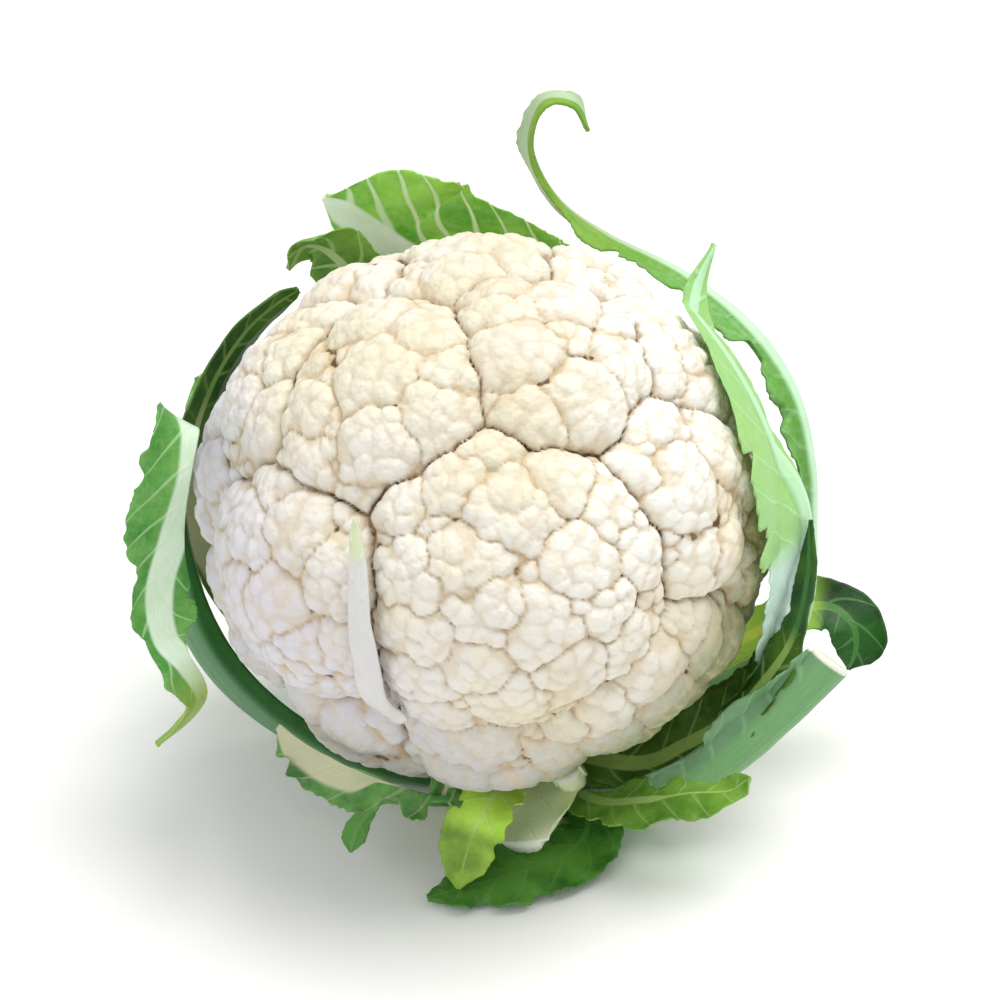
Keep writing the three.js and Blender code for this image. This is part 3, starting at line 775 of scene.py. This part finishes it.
def makeLeaf(name, leaf):
    s = leafShape
    rows, columns = leaf["grid"]
    pieceName = "".join(word.capitalize() for word in name.split("_"))
    bm = bmesh.new()
    bmesh.ops.create_grid(bm, x_segments=rows, y_segments=columns, size=1.0)
    sheet = bmesh.ops.extrude_face_region(bm, geom=bm.faces[:], use_keep_orig=True)
    raised = [v for v in sheet["geom"] if isinstance(v, bmesh.types.BMVert)]
    bmesh.ops.translate(bm, verts=raised, vec=(0, 0, 1))
    bmesh.ops.recalc_face_normals(bm, faces=bm.faces[:])
    piece = finishPiece(bm, pieceName[0].lower() + pieceName[1:])
    flat = getPlaces(piece.data)

    row = np.rint((flat[:, 0] + 1) / 2 * rows).astype(int)
    hand = -np.sign(np.rint(flat[:, 1] * 1000))
    step = np.abs(flat[:, 1])
    upper = flat[:, 2] > 0.5
    t, centre, normal, left, sizes = leafFrames(leaf, rows)
    taper = t ** 0.7
    ribHalf = (leaf["rib"][0] + (leaf["rib"][1] - leaf["rib"][0]) * taper)[row]
    deep = (leaf["depth"][0] + (leaf["depth"][1] - leaf["depth"][0]) * taper)[row]
    plain = np.maximum(np.where(hand > 0, sizes[row, 0], sizes[row, 1]), ribHalf + s["leastBlade"])

    # teeth and notches along the edge
    notch = np.where(hand > 0, edgeNotches(leaf, name, 1, t)[row], edgeNotches(leaf, name, -1, t)[row])
    length = np.concatenate([[0], np.cumsum(np.linalg.norm(np.diff(centre, axis=0), axis=1))])
    run = length[row]
    seed = len(name) + leaf["grid"][0] * 0.01
    edgePoints = np.stack([length, np.zeros_like(length), np.zeros_like(length)], axis=1)
    teeth = [
        0.5 * np.abs(noiseAt(edgePoints + (0, side * 40, 0), s["toothSize"], seed))
        + smoothStep(noiseAt(edgePoints + (0, side * 40, 0), s["tearSize"], seed), 0.0, 0.5)
        for side in (1, -1)
    ]
    tooth = np.where(hand > 0, teeth[0][row], teeth[1][row])
    share = np.clip(1 - notch - leaf["teeth"] * tooth, s["leastEdge"], 1)
    # every tip but a cut one runs to a soft point
    pointed = np.where(leaf.get("cutEnd", False), 1.0, np.clip((1 - t[row]) / s["tip"], 0.1, 1) ** 0.6)
    ribHalf = ribHalf * pointed
    width = np.maximum(plain * share * pointed, ribHalf + s["leastBlade"] * pointed)

    ribShare = np.clip(0.42 * ribHalf / np.maximum(width, 1) + 0.12, 0.15, 0.7)
    ribShare = np.round(ribShare.mean() * columns / 2) / (columns / 2)
    inRib = np.clip(step / ribShare, 0, 1)
    edge = np.clip((step - ribShare) / (1 - ribShare), 0, 1)
    reach = np.where(edge > 0, ribHalf + (width - ribHalf) * edge, ribHalf * inRib)

    # side veins leave the midrib at a slant; the blade swells a little between them
    spacing = s["veinSpacing"] + 0.12 * plain.max()
    slant = run - s["veinSlant"] * reach - s["veinCurve"] * reach ** 2
    wander = noiseAt(np.stack([run, hand * reach, 0 * run], axis=1), 14.0, seed + 3)
    phase = slant / spacing + 0.5 * (hand > 0) + leaf.get("veinWander", 0.22) * wander
    fromVein = np.abs(phase - np.rint(phase)) * 2
    swell = edge ** 0.5 * (1 - edge ** 4) * (fromVein ** 1.2 - 0.4)

    bend = math.radians(leaf["cup"])
    turned = bend * reach / plain
    ripple = leaf["wave"][0] * edge ** 2 * np.sin(2 * math.pi * leaf["wave"][1] * t[row] + hand)
    roomy = np.minimum(1, (plain - ribHalf) / s["waveRoom"])
    crumple = noiseAt(np.stack([run, hand * reach, 0 * run], axis=1), s["crumpleSize"], seed + 5)
    uneven = ripple + leaf["crinkle"] * edge * (crumple + 0.8 * swell)
    lift = plain / bend * (1 - np.cos(turned)) + uneven * roomy
    across = hand * plain / bend * np.sin(turned)
    faceIn = normal[row] * np.cos(turned)[:, None] - left[row] * (hand * np.sin(turned))[:, None]
    point = centre[row] + left[row] * across[:, None] + normal[row] * lift[:, None]
    spare = np.interp(t[row], (0.05, 0.4), leaf.get("layOn", s["layOn"]))
    point = outsideCurd(point, spare[:, None])

    body = (deep - s["blade"]) * np.sqrt(np.maximum(1 - inRib ** 2, 0))
    thin = s["blade"] * (1 - 0.45 * smoothStep(edge, 0.7, 1.0))
    fromRidge = fromVein * spacing / 2 / s["ridgeWidth"]
    ridge = s["veinRidge"] * np.exp(-fromRidge ** 2) * (1 - edge) * (edge > 0)
    grooves = s["ribGrooves"] * np.cos(reach * 2.1) * (inRib < 1) * np.minimum(1, ribHalf / 6)
    thick = thin + body + ridge + np.where(inRib < 1, grooves * (1 - inRib), 0)
    places = np.where(upper[:, None], point, point - faceIn * thick[:, None])
    setPlaces(piece.data, places)

    uv = piece.data.uv_layers.new(name="sheet")
    corner = np.empty(len(piece.data.loops), int)
    piece.data.loops.foreach_get("vertex_index", corner)
    uv.data.foreach_set("uv", np.stack([run / 100, hand * reach / 100], axis=1)[corner].ravel())
    paint(piece.data, "phase", phase)
    paint(piece.data, "edge", edge)
    late = smoothStep(t[row], *leaf.get("ribSwitch", (0.44, 0.52)))
    ends = (leaf.get("ribShown", (1, 1)), leaf.get("ribShift", (0, 0)))
    shown, shift = [before + (after - before) * late for before, after in ends]
    paint(piece.data, "rib", np.abs(hand * reach - shift) / (ribHalf * shown))
    paint(piece.data, "upper", upper)
    paint(piece.data, "share", t[row])
    return piece


# Leaf materials

leafLooks = {
    "bright": {"deep": (0.13, 0.43, 0.035), "light": (0.36, 0.74, 0.10), "back": (0.24, 0.50, 0.09),
               "vein": (0.72, 0.90, 0.56), "rib": (0.92, 0.96, 0.88), "slot": "leaf_green"},
    "green": {"deep": (0.06, 0.20, 0.02), "light": (0.18, 0.38, 0.05), "back": (0.16, 0.36, 0.08),
              "vein": (0.36, 0.55, 0.20), "rib": (0.42, 0.58, 0.28), "slot": "leaf_green"},
    "shade": {"deep": (0.012, 0.06, 0.004), "light": (0.045, 0.14, 0.012), "back": (0.05, 0.14, 0.02),
              "vein": (0.14, 0.26, 0.05), "rib": (0.16, 0.28, 0.06), "slot": "leaf_green",
              "baseRib": (0.50, 0.56, 0.30), "baseBlade": (0.10, 0.20, 0.04), "baseEnd": 0.56},
    "dark": {"deep": (0.03, 0.13, 0.015), "light": (0.09, 0.27, 0.03), "back": (0.07, 0.22, 0.04),
             "vein": (0.16, 0.34, 0.10), "rib": (0.10, 0.27, 0.06), "slot": "leaf_green"},
    "disc": {"deep": (0.004, 0.035, 0.003), "light": (0.012, 0.10, 0.006), "back": (0.10, 0.30, 0.07),
             "vein": (0.09, 0.25, 0.07), "rib": (0.06, 0.20, 0.04), "slot": "leaf_green",
             "baseRib": (0.44, 0.58, 0.08), "baseBlade": (0.30, 0.50, 0.07), "baseEnd": 0.5},
    "fresh": {"deep": (0.09, 0.24, 0.02), "light": (0.19, 0.39, 0.045), "back": (0.24, 0.42, 0.10),
              "vein": (0.44, 0.60, 0.22), "rib": (0.36, 0.54, 0.16), "slot": "leaf_green"},
    "inner": {"deep": (0.025, 0.09, 0.008), "light": (0.09, 0.20, 0.02), "back": (0.05, 0.14, 0.02),
              "vein": (0.26, 0.42, 0.12), "rib": (0.34, 0.50, 0.13), "slot": "leaf_green",
             "tipStart": 0.7, "tipBlade": (0.01, 0.06, 0.015), "tipRib": (0.06, 0.20, 0.05)},
    "pale": {"deep": (0.055, 0.27, 0.035), "light": (0.16, 0.42, 0.09), "back": (0.055, 0.26, 0.04),
             "vein": (0.46, 0.70, 0.36), "rib": (0.74, 0.90, 0.72), "slot": "leaf_pale",
             # the base colours here are painted shade, dark on the lower part of the leaf next to the curd
             "baseRib": (0.12, 0.26, 0.13), "baseBlade": (0.012, 0.10, 0.008), "baseEnd": 0.47,
             "tipStart": 0.84, "tipBlade": (0.34, 0.50, 0.07), "tipRib": (0.40, 0.56, 0.14)},
    "mint": {"deep": (0.03, 0.16, 0.012), "light": (0.11, 0.33, 0.03), "back": (0.14, 0.38, 0.07),
             "vein": (0.56, 0.82, 0.54), "rib": (0.56, 0.84, 0.58), "slot": "leaf_pale",
             "tipStart": 0.62, "tipBlade": (0.24, 0.40, 0.05), "tipRib": (0.42, 0.56, 0.34)},
    "lime": {"deep": (0.26, 0.52, 0.08), "light": (0.38, 0.66, 0.16), "back": (0.30, 0.58, 0.20),
             "vein": (0.56, 0.82, 0.46), "rib": (0.50, 0.80, 0.50), "slot": "leaf_pale",
             "baseRib": (0.76, 0.94, 0.88), "baseBlade": (0.68, 0.90, 0.80), "baseEnd": 0.4,
             # painted shade: dark green near the stem
             "root": (0.05, 0.15, 0.02), "rootEnd": 0.23},
    "blue": {"deep": (0.06, 0.16, 0.05), "light": (0.22, 0.36, 0.21), "back": (0.12, 0.28, 0.12),
             "vein": (0.24, 0.45, 0.22), "rib": (0.15, 0.35, 0.13), "slot": "leaf_pale"},
    "torn": {"deep": (0.04, 0.16, 0.03), "light": (0.15, 0.36, 0.08), "back": (0.30, 0.40, 0.18),
             "vein": (0.38, 0.48, 0.24), "rib": (0.58, 0.58, 0.38), "slot": "leaf_pale"},
    "yellow": {"deep": (0.36, 0.66, 0.045), "light": (0.56, 0.84, 0.10), "back": (0.36, 0.56, 0.08),
               "vein": (0.60, 0.76, 0.26), "rib": (0.54, 0.72, 0.20), "slot": "leaf_yellow",
               "tipStart": 0.66, "tipBlade": (0.12, 0.25, 0.025), "tipRib": (0.26, 0.42, 0.07)},
    "back": {"deep": (0.06, 0.20, 0.02), "light": (0.16, 0.38, 0.06), "back": (0.14, 0.32, 0.08),
             "vein": (0.44, 0.60, 0.28), "rib": (0.52, 0.66, 0.40), "slot": "leaf_pale"},
    "stalk": {"deep": (0.74, 0.84, 0.46), "light": (0.86, 0.92, 0.64), "back": (0.80, 0.88, 0.52),
              "vein": (0.90, 0.93, 0.70), "rib": (0.82, 0.90, 0.58), "slot": "stem"},
    "bract": {"deep": (0.62, 0.62, 0.57), "light": (0.68, 0.67, 0.65), "back": (0.66, 0.65, 0.64),
              "vein": (0.70, 0.69, 0.68), "rib": (0.67, 0.66, 0.66), "slot": "bract",
              "tipStart": 0.82, "tipBlade": (0.62, 0.70, 0.42), "tipRib": (0.62, 0.70, 0.42)},
}


def veinGroup():
    # side veins from the phase, a fine net between them, and the midrib, each as a mask
    group, start, end = newGroup(
        "leafVeins",
        [("Sheet", "NodeSocketVector", None), ("Phase", "NodeSocketFloat", 0.0),
         ("Edge", "NodeSocketFloat", 0.0), ("Rib", "NodeSocketFloat", 0.0), ("Wide", "NodeSocketFloat", 1.0)],
        [("Veins", "NodeSocketFloat"), ("Net", "NodeSocketFloat"), ("Midrib", "NodeSocketFloat")],
    )
    phase = start.outputs["Phase"]
    away = mathNode(group, "ABSOLUTE", mathNode(group, "SUBTRACT", phase, mathNode(group, "ROUND", phase)))
    widthHere = mathNode(group, "MULTIPLY_ADD", start.outputs["Edge"], -0.055, 0.08)
    ratio = mathNode(group, "DIVIDE", away, mathNode(group, "MULTIPLY", widthHere, start.outputs["Wide"]))
    group.links.new(rampNode(group, ratio, 0.35, 1.25, 1.0, 0.0), end.inputs["Veins"])
    cells = addNode(group.nodes, "ShaderNodeTexVoronoi", feature="DISTANCE_TO_EDGE")
    cells.inputs["Scale"].default_value = 24.0
    group.links.new(start.outputs["Sheet"], cells.inputs["Vector"])
    group.links.new(rampNode(group, cells.outputs["Distance"], 0.02, 0.09, 1.0, 0.0), end.inputs["Net"])
    group.links.new(rampNode(group, start.outputs["Rib"], 0.82, 1.12, 1.0, 0.0), end.inputs["Midrib"])
    return group


def leafMaterial(name, leaf, veins):
    material, nodes, links = newMaterial(name)
    tree = material.node_tree
    shader = nodes["Principled BSDF"]
    look = leafLooks[leaf["look"]]
    place = addNode(nodes, "ShaderNodeTexCoord").outputs["Object"]
    sheet = addNode(nodes, "ShaderNodeUVMap", uv_map="sheet").outputs["UV"]
    pattern = addNode(nodes, "ShaderNodeGroup", node_tree=veins)
    edge = readAttribute(tree, "edge")
    upper = readAttribute(tree, "upper")
    links.new(sheet, pattern.inputs["Sheet"])
    links.new(readAttribute(tree, "phase"), pattern.inputs["Phase"])
    links.new(edge, pattern.inputs["Edge"])
    links.new(readAttribute(tree, "rib"), pattern.inputs["Rib"])
    pattern.inputs["Wide"].default_value = leaf.get("veinWide", 1.0)

    mottle = noiseNode(tree, place, 60.0, 4.0, 0.6)
    fine = noiseNode(tree, place, 320.0, 3.0, 0.6)
    blade = mixColour(tree, rampNode(tree, mottle, 0.35, 0.68), look["deep"], look["light"])
    back = mixColour(tree, rampNode(tree, mottle, 0.3, 0.7, 0.0, 0.45), look["back"], look["light"])
    blade = mixColour(tree, upper, back, blade)
    blade = mixColour(tree, rampNode(tree, fine, 0.45, 0.8, 0.0, 0.18), blade, look["vein"])
    net = mathNode(tree, "MULTIPLY", pattern.outputs["Net"], 0.06)
    blade = mixColour(tree, net, blade, look["vein"])
    lines = mathNode(tree, "MULTIPLY", pattern.outputs["Veins"], leaf.get("veinShown", 0.6))
    blade = mixColour(tree, lines, blade, look["vein"])
    fibre = addNode(nodes, "ShaderNodeMapping")
    fibre.inputs["Scale"].default_value = (1.0, 12.0, 1.0)
    links.new(sheet, fibre.inputs["Vector"])
    streak = noiseNode(tree, fibre.outputs["Vector"], 14.0, 3.0, 0.6)
    ribTone = mixColour(tree, rampNode(tree, streak, 0.35, 0.7, 0.0, 0.25), look["rib"], look["vein"])
    ribTone = mixColour(tree, rampNode(tree, mottle, 0.45, 0.75, 0.0, 0.18), ribTone, look["light"])
    share = readAttribute(tree, "share")
    if "tipStart" in look:
        atTip = rampNode(tree, share, look["tipStart"] - 0.05, look["tipStart"] + 0.05)
        ribTone = mixColour(tree, atTip, ribTone, look["tipRib"])
        tipMottle = rampNode(tree, mottle, 0.3, 0.7, 0.0, 0.6)
        tipBlade = mixColour(tree, tipMottle, look["tipBlade"], look["light"])
        blade = mixColour(tree, atTip, blade, tipBlade)
    # colours near the stem: the leaf's own pale base on most looks, painted shade on the folded leaf's lower
    # part
    if "baseEnd" in look:
        atBase = rampNode(tree, share, look["baseEnd"] - 0.06, look["baseEnd"] + 0.06, 1.0, 0.0)
        blade = mixColour(tree, atBase, blade, look["baseBlade"])
        ribTone = mixColour(tree, atBase, ribTone, look["baseRib"])
    colour = mixColour(tree, pattern.outputs["Midrib"], blade, ribTone)
    # painted shade: darker green near the stem, where the leaf lies in shade
    if "rootEnd" in look:
        rootShade = rampNode(tree, share, look["rootEnd"] - 0.03, look["rootEnd"] + 0.03, 1.0, 0.0)
        colour = mixColour(tree, rootShade, colour, look["root"])
    if leaf.get("cutEnd", False):
        end = rampNode(tree, share, 0.985, 0.995)
        colour = mixColour(tree, end, colour, (0.86, 0.88, 0.76))
    links.new(colour, shader.inputs["Base Color"])

    relief = mathNode(tree, "ADD", mathNode(tree, "MULTIPLY", pattern.outputs["Veins"], 0.7), fine)
    normal = bumpNode(tree, relief, 0.35, 0.0004)
    normal = bumpNode(tree, streak, 0.14, 0.0003, normal)
    links.new(normal, shader.inputs["Normal"])
    links.new(rampNode(tree, mottle, 0.3, 0.7, 0.38, 0.52), shader.inputs["Roughness"])
    shader.inputs["Specular IOR Level"].default_value = 0.3
    return material


veins = veinGroup()
for name, leaf in leaves.items():
    piece = makeLeaf(name, leaf)
    piece.data.materials.append(leafMaterial(name, leaf, veins))
    standFor(piece, name)
print("leaves done:", len(leaves))


# Stem

stemShape = {
    "radius": 23.0,
    "topRadius": 27.0,
    "top": 50.0,
    "lean": -6.0 / 50.0,
    "gap": 0.35,
    "steps": 120,
}


def makeStem():
    s = stemShape
    r, top = s["radius"], s["top"] - s["gap"]
    profile = [
        (0, 0), (r * 0.3, 0), (r * 0.6, 0), (r * 0.85, 0), (r - 1.4, 0), (r - 0.4, 0.5), (r, 1.5),
        (r + 0.5, 5), (r + 1, 10), (r, 16), (r - 2, 22), (r - 1.8, 29), (r - 1, 36), (r + 1, 42),
        (s["topRadius"] - 2, 46), (s["topRadius"] - 1, top), (0, top),
    ]
    bm = bmesh.new()
    line = [bm.verts.new((x, 0, z)) for x, z in profile]
    edges = [bm.edges.new(pair) for pair in zip(line, line[1:])]
    bmesh.ops.spin(bm, geom=line + edges, cent=(0, 0, 0), axis=(0, 0, 1), angle=2 * math.pi,
                   steps=s["steps"], use_merge=True)
    bmesh.ops.remove_doubles(bm, verts=bm.verts[:], dist=0.001)
    bmesh.ops.recalc_face_normals(bm, faces=bm.faces[:])
    stem = finishPiece(bm, "stemStalk")
    places = getPlaces(stem.data)
    around = np.arctan2(places[:, 1], places[:, 0])
    reach = np.hypot(places[:, 0], places[:, 1])
    side = (reach > r * 0.9) * smoothStep(places[:, 2], 1.0, 6.0) * (1 - smoothStep(places[:, 2], 40.0, 48.0))
    scars = 0.5 * np.sin(5 * around + places[:, 2] / 4) + 0.3 * np.sin(13 * around - places[:, 2] / 6)
    places[:, :2] *= (1 + (scars - 0.8) * side / r)[:, None]
    places[:, 0] += s["lean"] * places[:, 2]
    setPlaces(stem.data, places)
    return stem


def stemMaterial():
    material, nodes, links = newMaterial("stemGreen")
    tree = material.node_tree
    shader = nodes["Principled BSDF"]
    place = addNode(nodes, "ShaderNodeTexCoord").outputs["Object"]
    split = addNode(nodes, "ShaderNodeSeparateXYZ")
    links.new(place, split.inputs[0])
    flat = addNode(nodes, "ShaderNodeCombineXYZ")
    links.new(split.outputs["X"], flat.inputs["X"])
    links.new(split.outputs["Y"], flat.inputs["Y"])
    reach = addNode(nodes, "ShaderNodeVectorMath", operation="LENGTH")
    links.new(flat.outputs[0], reach.inputs[0])
    fromAxis = reach.outputs["Value"]
    mottle = noiseNode(tree, place, 90.0, 4.0)
    skin = mixColour(tree, rampNode(tree, mottle, 0.35, 0.7), (0.40, 0.52, 0.20), (0.62, 0.70, 0.36))
    pith = mixColour(tree, rampNode(tree, fromAxis, 0.008, 0.016), (0.84, 0.84, 0.68), (0.72, 0.76, 0.48))
    wood = mixColour(tree, rampNode(tree, fromAxis, 0.0165, 0.019), pith, (0.58, 0.62, 0.34))
    wood = mixColour(tree, rampNode(tree, mottle, 0.55, 0.8, 0.0, 0.5), wood, (0.52, 0.42, 0.22))
    atCut = rampNode(tree, split.outputs["Z"], 0.0003, 0.0009, 1.0, 0.0)
    links.new(mixColour(tree, atCut, skin, wood), shader.inputs["Base Color"])
    normal = bumpNode(tree, noiseNode(tree, place, 500.0, 3.0), 0.4, 0.0004)
    links.new(normal, shader.inputs["Normal"])
    shader.inputs["Roughness"].default_value = 0.55
    return material


stem = makeStem()
stem.data.materials.append(stemMaterial())
standFor(stem, "stem")
print("stem done")
